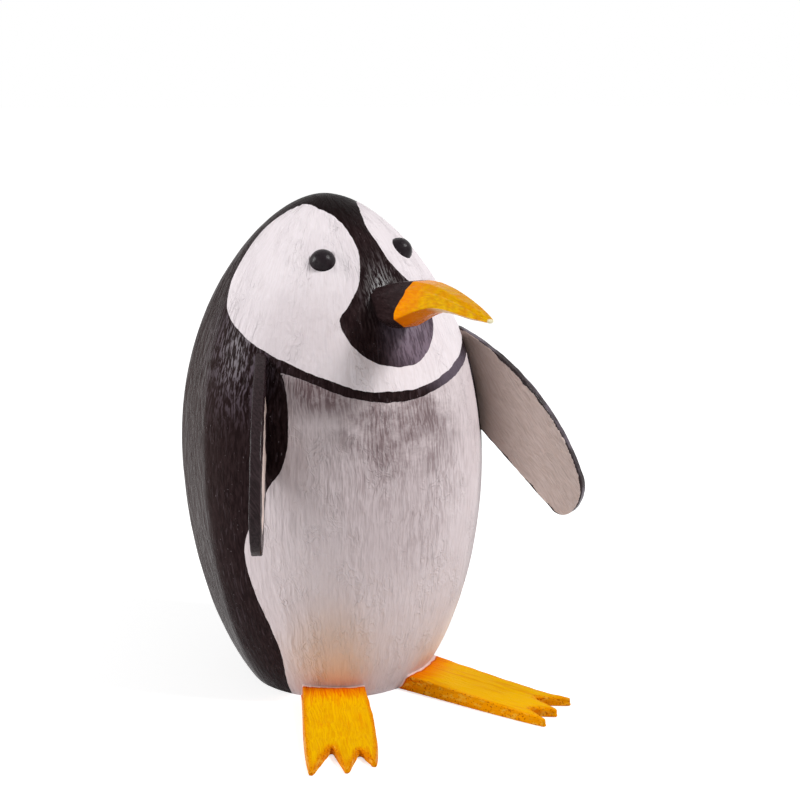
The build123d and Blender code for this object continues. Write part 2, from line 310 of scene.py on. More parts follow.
def keep_place(mesh, name, places):
    """Keep one place for each vertex where a material can read it."""
    layer = mesh.attributes.new(name, "FLOAT_VECTOR", "POINT")
    layer.data.foreach_set("vector", places.astype(np.float32).ravel())


def uneven(places, size):
    """Smooth unevenness between 0 and 1 with hills about that size."""
    return np.array([0.5 + 0.5 * noise.noise(Vector(place) / size) for place in places])


def shade_smooth(mesh):
    """Smooth shading on every face."""
    mesh.polygons.foreach_set("use_smooth", [True] * len(mesh.polygons))


def new_piece(name, bm):
    """A new object made from a bmesh, smoothly shaded."""
    mesh = bpy.data.meshes.new(name)
    bm.to_mesh(mesh)
    bm.free()
    shade_smooth(mesh)
    piece = bpy.data.objects.new(name, mesh)
    bpy.context.scene.collection.objects.link(piece)
    return piece


def even_copy(node, name, cell, worn=3):
    """A copy of a CAD node under one even closed skin of small faces, its edges worn a little."""
    bm = bmesh.new()
    bm.from_mesh(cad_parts[node].data)
    bmesh.ops.remove_doubles(bm, verts=bm.verts, dist=weld)
    piece = new_piece(name, bm)
    skin = piece.modifiers.new("even_skin", "REMESH")
    skin.mode = "VOXEL"
    skin.voxel_size = cell
    graph = bpy.context.evaluated_depsgraph_get()
    graph.update()
    even = bpy.data.meshes.new_from_object(piece.evaluated_get(graph))
    piece.modifiers.clear()
    bm = bmesh.new()
    bm.from_mesh(even)
    for _ in range(worn):
        bmesh.ops.smooth_vert(
            bm, verts=bm.verts, factor=0.5, use_axis_x=True, use_axis_y=True, use_axis_z=True,
        )
    bm.to_mesh(even)
    bm.free()
    shade_smooth(even)
    piece.data = even
    return piece


def whittle(piece, depth, size):
    """Cut a piece unevenly, up to a depth, in hollows of about that size."""
    places = places_of(piece.data)
    cut = uneven(places, size) * depth
    set_places(piece.data, places - normals_of(piece.data) * cut[:, None])


def outside_block(places):
    """How far places lie outside the block's skin, measured level."""
    own = upright(places)
    return np.hypot(own[:, 0], own[:, 1]) - radius_at(own[:, 2])


# Body

def turned_skin():
    """The upright block's skin, spun from its outline."""
    bm = bmesh.new()
    corners = [bm.verts.new(place) for place in outline]
    edges = [bm.edges.new(pair) for pair in zip(corners, corners[1:])]
    bmesh.ops.spin(
        bm, geom=corners + edges, axis=(0, 0, 1), cent=(0, 0, 0),
        steps=turn_steps, angle=2 * math.pi, use_merge=True,
    )
    bmesh.ops.remove_doubles(bm, verts=bm.verts, dist=weld)
    bmesh.ops.recalc_face_normals(bm, faces=bm.faces)
    return bm


def saw_level(bm):
    """Saw the leaning block off level with the table and close it."""
    parts = list(bm.verts) + list(bm.edges) + list(bm.faces)
    bmesh.ops.bisect_plane(bm, geom=parts, plane_co=(0, 0, 0), plane_no=(0, 0, -1), clear_outer=True)
    rim = [edge for edge in bm.edges if edge.is_boundary]
    base = bmesh.ops.contextual_create(bm, geom=rim)["faces"]
    for face in base:
        face.material_index = 1
    bmesh.ops.recalc_face_normals(bm, faces=bm.faces)


def make_body():
    """The block with its planed back, uneven from the knife, sawn off and mapped for paint."""
    bm = turned_skin()
    piece = new_piece("carved_body", bm)
    mesh = piece.data
    set_places(mesh, leaned(plane_back(places_of(mesh))))
    places = places_of(mesh)
    cut = 0.30 * mm * uneven(places, 22 * mm) + 0.12 * mm * uneven(places, 7 * mm)
    set_places(mesh, places - normals_of(mesh) * cut[:, None])
    bm = bmesh.new()
    bm.from_mesh(mesh)
    saw_level(bm)
    bm.to_mesh(mesh)
    bm.free()
    shade_smooth(mesh)
    places = places_of(mesh)
    own = upright(places)
    turns = turn_of(own)
    spots = flat_map(turns, places[:, 2])
    keep_value(mesh, "face_paint", inside_distance(spots, white_face_outline()))
    keep_value(mesh, "belly_paint", inside_distance(spots, white_belly_outline()))
    round_skin = [stroke_radius * np.sin(turns), -stroke_radius * np.cos(turns), reach_at(own[:, 2])]
    keep_place(mesh, "stroke_place", np.stack(round_skin, axis=1))
    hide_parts("body")
    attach(piece, "root")
    return piece


# Beak, flippers and feet

def rim_distance(mesh, facing, steepness=0.8):
    """Distance of each vertex from the nearest one on the piece's sides, square to a direction."""
    places = places_of(mesh)
    flat = np.abs(normals_of(mesh) @ np.array(facing)) > steepness
    rim = np.flatnonzero(~flat)
    tree = kdtree.KDTree(len(rim))
    for index, vertex in enumerate(rim):
        tree.insert(places[vertex], index)
    tree.balance()
    return np.array([tree.find(place)[2] if on else 0.0 for place, on in zip(places, flat)])


def make_beak():
    """The carved beak."""
    piece = even_copy("beak", "carved_beak", beak_cell)
    whittle(piece, depth=0.3 * mm, size=6 * mm)
    keep_value(piece.data, "facing_up", normals_of(piece.data)[:, 2])
    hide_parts("beak")
    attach(piece, "root")
    return piece


def make_flipper(side):
    """One flipper, sawn from board and painted by hand."""
    piece = even_copy(f"{side}_flipper", f"carved_{side}_flipper", flipper_cell)
    mesh = piece.data
    sign = 1 if side == "left" else -1
    outward = np.array((sign * math.cos(flipper_spread), math.sin(flipper_spread), 0.0))
    keep_value(mesh, "pale_field", rim_distance(mesh, outward) - flipper_black_margin[side])
    whittle(piece, depth=0.5 * mm, size=7 * mm)
    whittle(piece, depth=0.2 * mm, size=2.5 * mm)
    places = places_of(mesh)
    keep_value(mesh, "outside_block", outside_block(places))
    keep_value(mesh, "out_of_middle", places @ outward - flipper_offset)
    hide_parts(f"{side}_flipper")
    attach(piece, "root")
    return piece


def make_foot(side):
    """One foot, sawn from board with three toes."""
    piece = even_copy(f"{side}_foot", f"carved_{side}_foot", foot_cell, worn=8)
    mesh = piece.data
    sign = 1 if side == "left" else -1
    places = places_of(mesh)
    ahead = np.array((sign * math.sin(foot_splay), -math.cos(foot_splay), 0.0))
    across = np.array((math.cos(foot_splay), sign * math.sin(foot_splay), 0.0))
    keep_value(mesh, "rim_distance", rim_distance(mesh, (0, 0, 1)))
    keep_value(mesh, "outside_block", outside_block(places))
    grain = np.stack([places @ across, places @ ahead, places[:, 2]], axis=1)
    keep_place(mesh, "grain_place", grain)
    above = places[:, 2] > uncut_sole
    cut = (uneven(places, 6 * mm) * 0.3 * mm + uneven(places, 11 * mm) * 0.6 * mm) * above
    set_places(mesh, places - normals_of(mesh) * cut[:, None])
    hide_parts(f"{side}_foot")
    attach(piece, "root")
    return piece


# Material helpers

def add(tree, kind, sockets=(), **settings):
    """A new shader node with its settings, and its sockets linked or given a value."""
    made = tree.nodes.new("ShaderNode" + kind)
    for name, value in settings.items():
        setattr(made, name, value)
    for name, value in dict(sockets).items():
        if isinstance(value, bpy.types.NodeSocket):
            tree.links.new(value, made.inputs[name])
        else:
            made.inputs[name].default_value = value
    return made


def sums(tree, operation, first, second=0.5):
    """One sum of two numbers or sockets."""
    return add(tree, "Math", {0: first, 1: second}, operation=operation).outputs[0]


def times(tree, first, second):
    """Product of two numbers or sockets."""
    return sums(tree, "MULTIPLY", first, second)


def ramp(tree, value, low, high, to_low=0.0, to_high=1.0):
    """A value moved smoothly from one range to another and held at its ends."""
    made = add(
        tree, "MapRange",
        {"Value": value, "From Min": low, "From Max": high, "To Min": to_low, "To Max": to_high},
        interpolation_type="SMOOTHSTEP",
    )
    return made.outputs["Result"]


def blend(tree, share, first, second):
    """Two colours mixed."""
    made = add(tree, "Mix", data_type="RGBA")
    for socket, value in ((made.inputs[0], share), (made.inputs[6], first), (made.inputs[7], second)):
        if isinstance(value, bpy.types.NodeSocket):
            tree.links.new(value, socket)
        else:
            socket.default_value = value
    return made.outputs[2]


def stretched(tree, place, scale, turn=(0, 0, 0)):
    """A place turned and scaled, for a pattern that runs one way."""
    return add(tree, "Mapping", {"Vector": place, "Scale": scale, "Rotation": turn}).outputs[0]


def cloud(tree, place, detail=3.0, rough=0.55, distort=0.0):
    """Soft noise of about one unit."""
    sockets = {"Vector": place, "Scale": 1.0, "Detail": detail, "Roughness": rough, "Distortion": distort}
    return add(tree, "TexNoise", sockets).outputs["Fac"]


def object_place(tree, axis=None):
    """The place on the object, or its number along one axis."""
    place = add(tree, "TexCoord").outputs["Object"]
    if axis:
        return add(tree, "SeparateXYZ", {"Vector": place}).outputs[axis]
    return place


def raise_paint(tree, shader, relief):
    """Let a height in metres show as relief on a shader."""
    bump = add(tree, "Bump", {"Height": relief, "Distance": 1.0, "Strength": 1.0})
    tree.links.new(bump.outputs[0], shader["Normal"])


def attribute(tree, name, output="Fac"):
    """A value kept on the mesh."""
    return add(tree, "Attribute", attribute_name=name).outputs[output]


def colour(red, green, blue):
    """A colour written as 0 to 255 for the screen, as a material needs it."""
    def plain(level):
        level = level / 255
        return level / 12.92 if level <= 0.04045 else ((level + 0.055) / 1.055) ** 2.4
    return (plain(red), plain(green), plain(blue), 1.0)


def new_group(name, inputs, outputs):
    """An empty shader node group with named sockets."""
    group = bpy.data.node_groups.new(name, "ShaderNodeTree")
    for socket, kind, value in inputs:
        made = group.interface.new_socket(socket, in_out="INPUT", socket_type=kind)
        made.default_value = value
    for socket, kind in outputs:
        group.interface.new_socket(socket, in_out="OUTPUT", socket_type=kind)
    start = group.nodes.new("NodeGroupInput")
    end = group.nodes.new("NodeGroupOutput")
    return group, start.outputs, end.inputs


def use_group(tree, group, sockets):
    """One use of a shader node group."""
    made = add(tree, "Group", node_tree=group)
    for name, value in sockets.items():
        if isinstance(value, bpy.types.NodeSocket):
            tree.links.new(value, made.inputs[name])
        else:
            made.inputs[name].default_value = value
    return made.outputs


def brush_group():
    """Marks of a brush in thick paint: raised strokes, their tone and small scratches."""
    group, given, result = new_group(
        "brush_marks",
        [
            ("Place", "NodeSocketVector", (0, 0, 0)),
            ("Width", "NodeSocketFloat", 0.8 * mm),
            ("Length", "NodeSocketFloat", 8.0 * mm),
            ("Bristles", "NodeSocketFloat", 0.35),
        ],
        [("Height", "NodeSocketFloat"), ("Tone", "NodeSocketFloat"), ("Scratch", "NodeSocketFloat")],
    )
    wide = sums(group, "DIVIDE", 1.0, given["Width"])
    long = sums(group, "DIVIDE", 1.0, given["Length"])
    scale = add(group, "CombineXYZ", {"X": wide, "Y": wide, "Z": long}).outputs[0]
    wander = add(group, "TexNoise", {"Vector": given["Place"], "Scale": 45.0, "Detail": 2.0})
    shift = add(
        group, "VectorMath", {0: wander.outputs["Color"], 1: (0.005, 0.005, 0.0)}, operation="MULTIPLY",
    ).outputs[0]
    place = add(group, "VectorMath", {0: given["Place"], 1: shift}, operation="ADD").outputs[0]
    hairs = add(group, "VectorMath", {0: place, 1: scale}, operation="MULTIPLY").outputs[0]
    hair = cloud(group, hairs, detail=2.0, rough=0.6)
    strokes = add(group, "VectorMath", {0: hairs, 1: (0.3, 0.3, 0.6)}, operation="MULTIPLY").outputs[0]
    stroke = cloud(group, strokes, detail=2.0, rough=0.5)
    loose = stretched(group, given["Place"], (210, 210, 110), (0.3, 0.2, 0.0))
    ridge = sums(group, "SUBTRACT", cloud(group, loose, detail=2.0, distort=1.2), 0.5)
    ridge = ramp(group, sums(group, "ABSOLUTE", ridge), 0.0, 0.09, 1.0, 0.0)
    thick = ramp(group, cloud(group, stretched(group, given["Place"], (70, 70, 50)), detail=1.0), 0.42, 0.6)
    ridge = times(group, ridge, thick)
    fine = times(group, hair, given["Bristles"])
    raised = sums(group, "ADD", fine, times(group, stroke, 0.9))
    raised = sums(group, "ADD", raised, times(group, ridge, 0.22))
    group.links.new(raised, result["Height"])
    group.links.new(ramp(group, hair, 0.3, 0.7), result["Tone"])
    slashed = add(group, "VectorMath", {0: hairs, 1: (0.9, 0.9, 0.6)}, operation="MULTIPLY").outputs[0]
    slashed = add(group, "VectorMath", {0: slashed, 1: (7.0, 3.0, 5.0)}, operation="ADD").outputs[0]
    scratch = ramp(group, cloud(group, slashed, detail=1.0, rough=0.4), 0.64, 0.70)
    group.links.new(scratch, result["Scratch"])
    return group


def new_material(name):
    """A material with one Principled shader, its node tree and that shader."""
    made = bpy.data.materials.new(name)
    made.use_nodes = True
    made.node_tree.nodes.clear()
    shader = add(made.node_tree, "BsdfPrincipled")
    output = add(made.node_tree, "OutputMaterial")
    made.node_tree.links.new(shader.outputs[0], output.inputs[0])
    return made, made.node_tree, shader.inputs


def near(tree, spot, reach):
    """1 at a spot on the object, falling smoothly to 0 at a reach from it."""
    here = object_place(tree)
    gap = add(tree, "VectorMath", {0: here, 1: spot}, operation="SUBTRACT").outputs[0]
    shares = [1 / length for length in reach]
    scaled = add(tree, "VectorMath", {0: gap, 1: shares}, operation="MULTIPLY").outputs[0]
    far = add(tree, "VectorMath", {0: scaled}, operation="LENGTH").outputs["Value"]
    return ramp(tree, far, 0.25, 1.0, 1.0, 0.0)


# Materials

def painted_fields(tree, place):
    """Shares of white paint: on the belly alone, and on the whole body."""
    wobble = cloud(tree, stretched(tree, place, (170, 170, 90)), detail=3.0)
    wobble = times(tree, sums(tree, "SUBTRACT", wobble, 0.5), 1.8 * mm)
    face = sums(tree, "ADD", attribute(tree, "face_paint"), wobble)
    belly = sums(tree, "ADD", attribute(tree, "belly_paint"), wobble)
    belly_field = ramp(tree, belly, -paint_edge, paint_edge)
    white_field = ramp(tree, sums(tree, "MAXIMUM", face, belly), -paint_edge, paint_edge)
    return belly_field, white_field


def clean_white(tree, marks, patches, belly_field):
    """White enamel, with a painted shade under the near eye, greyer on the belly."""
    white = blend(tree, marks["Tone"], colour(238, 228, 231), colour(245, 236, 240))
    white = blend(tree, ramp(tree, patches, 0.45, 0.75, 0.0, 0.3), white, colour(216, 203, 209))
    # Painted shade: a grey patch on the cheek under the near eye stands in for shade there.
    shaded = near(tree, (-46 * mm, -44 * mm, 190 * mm), (38 * mm, 38 * mm, 36 * mm))
    white = blend(tree, times(tree, shaded, 0.42), white, colour(204, 190, 193))
    return blend(tree, times(tree, belly_field, 0.75), white, colour(218, 204, 206))


def brushed_belly(tree, white, place, marks, patches, belly_field):
    """Streaks, hairlines and bare bristle marks over the belly's white."""
    streaked = near(tree, (0, -76 * mm, 122 * mm), (68 * mm, 60 * mm, 72 * mm))
    streaked = times(tree, streaked, ramp(tree, patches, 0.35, 0.6, 0.5, 1.0))
    grooves = ramp(tree, marks["Tone"], 0.05, 0.75, 1.0, 0.0)
    grooves = times(tree, grooves, ramp(tree, streaked, 0.0, 1.0, 0.06, 0.5))
    white = blend(tree, times(tree, grooves, belly_field), white, colour(160, 142, 144))
    fine = cloud(tree, stretched(tree, place, (2100, 2100, 120)), detail=2.0, rough=0.6)
    fine = times(tree, ramp(tree, fine, 0.5, 0.72), ramp(tree, streaked, 0.0, 1.0, 0.12, 0.5))
    white = blend(tree, times(tree, fine, belly_field), white, colour(150, 130, 132))
    bare = cloud(tree, stretched(tree, place, (1700, 1700, 110)), detail=2.0, rough=0.6)
    bare = times(tree, ramp(tree, bare, 0.54, 0.74), ramp(tree, streaked, 0.0, 1.0, 0.2, 0.6))
    white = blend(tree, times(tree, bare, belly_field), white, colour(240, 230, 232))
    hairline = times(tree, marks["Scratch"], times(tree, belly_field, 0.4))
    hairline = times(tree, hairline, ramp(tree, streaked, 0.0, 1.0, 0.25, 1.0))
    return blend(tree, hairline, white, colour(150, 132, 134))


def belly_smudges_and_painted_light(tree, white, place, marks, belly_field):
    """Dry black brushed thinly under the collar, greyer in the middle, and painted light over the feet."""
    smudge = cloud(tree, stretched(tree, place, (42, 42, 46)), detail=8.0, rough=0.7)
    # Darker grey over the middle of the belly front.
    greyer_middle = near(tree, (-10 * mm, -76 * mm, 112 * mm), (46 * mm, 50 * mm, 76 * mm))
    greyer_middle = times(tree, greyer_middle, times(tree, belly_field, 0.34))
    white = blend(tree, greyer_middle, white, colour(176, 158, 160))
    chest = near(tree, (-2 * mm, -72 * mm, 149 * mm), (56 * mm, 60 * mm, 42 * mm))
    chest = times(tree, chest, ramp(tree, smudge, 0.36, 0.6))
    under_collar = near(tree, (-38 * mm, -56 * mm, 163 * mm), (33 * mm, 44 * mm, 21 * mm))
    under_collar = times(tree, under_collar, ramp(tree, smudge, 0.3, 0.5, 0.1, 1.15))
    dirty = times(tree, sums(tree, "MAXIMUM", chest, under_collar), belly_field)
    dry_brush = ramp(tree, marks["Tone"], 0.2, 0.8, 0.85, 0.6)
    white = blend(tree, times(tree, dirty, dry_brush), white, colour(112, 92, 94))
    # Painted light: a warm orange glow over the near foot, as if bounced up from it.
    painted_bounce_near_foot = near(tree, (-34 * mm, -52 * mm, 22 * mm), (28 * mm, 40 * mm, 48 * mm))
    white = blend(tree, times(tree, painted_bounce_near_foot, 0.2), white, colour(240, 184, 100))
    # Painted light: a pale brightening of the lower belly over the far foot.
    painted_light_far_foot = near(tree, (50 * mm, -36 * mm, 24 * mm), (30 * mm, 34 * mm, 34 * mm))
    return blend(tree, times(tree, painted_light_far_foot, 0.9), white, colour(254, 238, 232))


def body_black(tree, place, marks, painted_shoulder_sheen):
    """Black enamel, scratched and specked, with painted lilac sheen, painted shade on the crown, browner on
    the back.
    """
    black = blend(tree, marks["Tone"], colour(30, 19, 20), colour(48, 35, 36))
    black = blend(tree, times(tree, marks["Scratch"], 0.25), black, colour(90, 78, 84))
    specks = ramp(tree, cloud(tree, stretched(tree, place, (1100, 1100, 600)), detail=1.0), 0.74, 0.78)
    black = blend(tree, times(tree, specks, 0.35), black, colour(160, 150, 155))
    # Painted sheen: lilac-grey on the collar's far end.
    collar_end_sheen = near(tree, (40 * mm, -54 * mm, 164 * mm), (34 * mm, 32 * mm, 16 * mm))
    black = blend(tree, times(tree, collar_end_sheen, 0.6), black, colour(122, 110, 124))
    # Painted sheen: lilac-grey streaks on the bib, where the light shines on it.
    bib = near(tree, (14 * mm, -60 * mm, 182 * mm), (26 * mm, 34 * mm, 25 * mm))
    painted_sheen = ramp(tree, marks["Tone"], 0.1, 0.7, 0.5, 0.95)
    black = blend(tree, times(tree, bib, painted_sheen), black, colour(128, 112, 126))
    # Painted sheen: lilac streaks over the near shoulder.
    black = blend(tree, times(tree, painted_shoulder_sheen, 0.34), black, colour(124, 108, 124))
    # Partly painted sheen, partly dust: a paler, browner tone over the planed back, where grazing light
    # shines.
    back = near(tree, (-68 * mm, 28 * mm, 124 * mm), (40 * mm, 60 * mm, 130 * mm))
    black = blend(tree, times(tree, back, 0.6), black, colour(57, 44, 42))
    # Painted shade: a darker crown.
    crown = near(tree, (-4 * mm, -8 * mm, 252 * mm), (56 * mm, 44 * mm, 26 * mm))
    return blend(tree, times(tree, crown, 0.8), black, colour(16, 8, 8))


def body_relief(tree, marks, black_marks, patches, belly_field, white_field):
    """Height of the brushed paint, thickest in the caked patches and on the head."""
    black_height = ramp(tree, object_place(tree, "Z"), 125 * mm, 170 * mm, 0.6 * mm, 1.3 * mm)
    smooth = ramp(tree, belly_field, 0.0, 1.0, 0.22 * mm, 0.6 * mm)
    caked = ramp(tree, patches, 0.36, 0.6, smooth, 1.3 * mm)
    white_relief = times(tree, marks["Height"], caked)
    black_relief = times(tree, black_marks["Height"], black_height)
    return add(tree, "Mix", {0: white_field, 2: black_relief, 3: white_relief}).outputs[0]


def painted_body_material(brush):
    """White and black paint, brushed thickly over the carved block."""
    made, tree, shader = new_material("painted_body")
    place = attribute(tree, "stroke_place", "Vector")
    strokes = {"Place": place, "Width": 0.9 * mm, "Length": 11.0 * mm, "Bristles": 0.22}
    marks = use_group(tree, brush, strokes)
    daubs = {"Place": place, "Width": 1.2 * mm, "Length": 5.5 * mm, "Bristles": 0.05}
    black_marks = use_group(tree, brush, daubs)
    belly_field, white_field = painted_fields(tree, place)
    patches = cloud(tree, stretched(tree, place, (45, 45, 30)), detail=4.0, rough=0.6)
    shoulder = near(tree, (-66 * mm, -16 * mm, 178 * mm), (26 * mm, 46 * mm, 46 * mm))
    streaks = ramp(tree, black_marks["Tone"], 0.42, 0.9)

    white = clean_white(tree, marks, patches, belly_field)
    white = brushed_belly(tree, white, place, marks, patches, belly_field)
    white = belly_smudges_and_painted_light(tree, white, place, marks, belly_field)
    black = body_black(tree, place, black_marks, times(tree, shoulder, streaks))
    tree.links.new(blend(tree, white_field, black, white), shader["Base Color"])

    rough_white = ramp(tree, marks["Tone"], 0.0, 1.0, 0.4, 0.3)
    rough_black = ramp(tree, black_marks["Tone"], 0.0, 1.0, 0.28, 0.22)
    rough = add(tree, "Mix", {0: white_field, 2: rough_black, 3: rough_white}).outputs[0]
    tree.links.new(rough, shader["Roughness"])
    shader["Specular IOR Level"].default_value = 0.012

    stripe = near(tree, (8 * mm, -50 * mm, 204 * mm), (28 * mm, 40 * mm, 36 * mm))
    varnish = sums(tree, "MAXIMUM", stripe, times(tree, shoulder, 0.4))
    varnish = times(tree, varnish, streaks)
    varnish = times(tree, varnish, ramp(tree, white_field, 0.0, 1.0, 0.7, 0.07))
    tree.links.new(varnish, shader["Coat Weight"])
    shader["Coat Roughness"].default_value = 0.3
    shader["Coat IOR"].default_value = 1.45
    raise_paint(tree, shader, body_relief(tree, marks, black_marks, patches, belly_field, white_field))
    return made


def painted_beak_material(brush):
    """Black root, orange and yellow horn with a pale tip."""
    made, tree, shader = new_material("painted_beak")
    here = object_place(tree)
    along_horn = stretched(tree, here, unstretched, (math.pi / 2, 0, 0))
    marks = use_group(tree, brush, {"Place": along_horn, "Width": 0.9 * mm, "Length": 4.0 * mm})
    ahead = times(tree, object_place(tree, "Y"), -1.0)
    wander = sums(tree, "SUBTRACT", cloud(tree, stretched(tree, here, (180, 180, 180))), 0.5)
    edge = sums(tree, "ADD", ahead, times(tree, wander, 1.5 * mm))
    root_end = ramp(tree, object_place(tree, "Z"), 197 * mm, 211 * mm, 65.3 * mm, 74.3 * mm)
    past_root = sums(tree, "SUBTRACT", edge, root_end)
    horn_share = ramp(tree, past_root, -0.15 * mm, 0.15 * mm)
    orange = blend(tree, marks["Tone"], colour(248, 130, 0), colour(255, 164, 0))
    yellow = blend(tree, marks["Tone"], colour(214, 150, 0), colour(238, 186, 0))
    horn = blend(tree, ramp(tree, past_root, 0.0, 22 * mm), orange, yellow)
    patch = ramp(tree, cloud(tree, stretched(tree, here, (150, 150, 150)), detail=4.0), 0.42, 0.6)
    horn = blend(tree, times(tree, patch, 0.35), horn, colour(240, 132, 0))
    facing_up = attribute(tree, "facing_up")
    # Painted shade and reflection: faces turned down are a darker orange-brown, turning to a pale painted
    # reflection towards the tip.
    under = ramp(tree, facing_up, -0.75, -0.35, 0.8, 0.0)
    lower = blend(tree, ramp(tree, ahead, 86 * mm, 100 * mm), colour(206, 98, 4), colour(244, 214, 180))
    horn = blend(tree, under, horn, lower)
    topmost = ramp(tree, facing_up, 0.55, 0.85, 0.0, 0.3)
    horn = blend(tree, topmost, horn, colour(206, 136, 0))
    horn = blend(tree, ramp(tree, edge, 126.2 * mm, 127.0 * mm), horn, colour(240, 232, 196))
    black = blend(tree, marks["Tone"], colour(34, 22, 23), colour(54, 40, 41))
    tree.links.new(blend(tree, horn_share, black, horn), shader["Base Color"])
    tree.links.new(ramp(tree, marks["Tone"], 0.0, 1.0, 0.32, 0.2), shader["Roughness"])
    shader["Specular IOR Level"].default_value = 0.02
    shader["Coat Weight"].default_value = 0.08
    shader["Coat Roughness"].default_value = 0.2
    shader["Coat IOR"].default_value = 1.4
    relief = times(tree, marks["Height"], 0.5 * mm)
    knife = cloud(tree, stretched(tree, here, (220, 160, 220)), detail=1.0)
    relief = sums(tree, "ADD", relief, times(tree, knife, 1.0 * mm))
    raise_paint(tree, shader, relief)
    return made


def painted_eye_material():
    """Satin black domes."""
    made, tree, shader = new_material("painted_eye")
    here = object_place(tree)
    tone = cloud(tree, stretched(tree, here, (400, 400, 400)), detail=4.0)
    tree.links.new(blend(tree, tone, colour(20, 13, 17), colour(40, 31, 36)), shader["Base Color"])
    tree.links.new(ramp(tree, tone, 0.3, 0.7, 0.26, 0.36), shader["Roughness"])
    shader["Specular IOR Level"].default_value = 0.12
    bump = add(tree, "Bump", {"Height": tone, "Distance": 0.25 * mm, "Strength": 1.0})
    tree.links.new(bump.outputs[0], shader["Normal"])
    return made


def painted_flipper_material(brush):
    """Grey-beige inner face, painted darker toward the root as shade, black outside and round the edge."""
    made, tree, shader = new_material("painted_flipper")
    here = object_place(tree)
    slanted = stretched(tree, here, unstretched, (0.6, 0.35, 0))
    marks = use_group(tree, brush, {"Place": slanted, "Width": 0.7 * mm, "Length": 7.0 * mm})
    wobble = sums(tree, "SUBTRACT", cloud(tree, stretched(tree, here, (70, 70, 70)), detail=6.0), 0.52)
    rim = sums(tree, "ADD", attribute(tree, "pale_field"), times(tree, wobble, 6.0 * mm))
    inner = ramp(tree, attribute(tree, "out_of_middle"), -2.2 * mm, -2.0 * mm, 1.0, 0.0)
    pale = times(tree, inner, ramp(tree, rim, 0.0, 0.2 * mm))
    beige = blend(tree, marks["Tone"], colour(216, 196, 188), colour(232, 214, 208))
    # Painted shade: the inner face darkens toward the root.
    root_shade = ramp(tree, attribute(tree, "outside_block"), -4 * mm, 34 * mm, 0.8, 0.0)
    beige = blend(tree, root_shade, beige, colour(120, 100, 92))
    scratch = times(tree, marks["Scratch"], 0.2)
    beige = blend(tree, scratch, beige, colour(150, 132, 126))
    black = blend(tree, marks["Tone"], colour(32, 21, 23), colour(52, 39, 42))
    across = sums(tree, "ABSOLUTE", attribute(tree, "out_of_middle"))
    sheen = ramp(tree, across, 1.2 * mm, 2.4 * mm, 0.7, 0.0)
    sheen = times(tree, sheen, ramp(tree, wobble, -0.06, 0.1))
    sheen = times(tree, sheen, ramp(tree, object_place(tree, "X"), -10 * mm, 10 * mm))
    black = blend(tree, sheen, black, colour(112, 100, 112))
    tree.links.new(blend(tree, pale, black, beige), shader["Base Color"])
    tree.links.new(ramp(tree, pale, 0.0, 1.0, 0.26, 0.5), shader["Roughness"])
    shader["Specular IOR Level"].default_value = 0.02
    tree.links.new(ramp(tree, pale, 0.0, 1.0, 0.3, 0.0), shader["Coat Weight"])
    shader["Coat Roughness"].default_value = 0.2
    shader["Coat IOR"].default_value = 1.4
    relief = times(tree, marks["Height"], 0.55 * mm)
    raise_paint(tree, shader, relief)
    return made


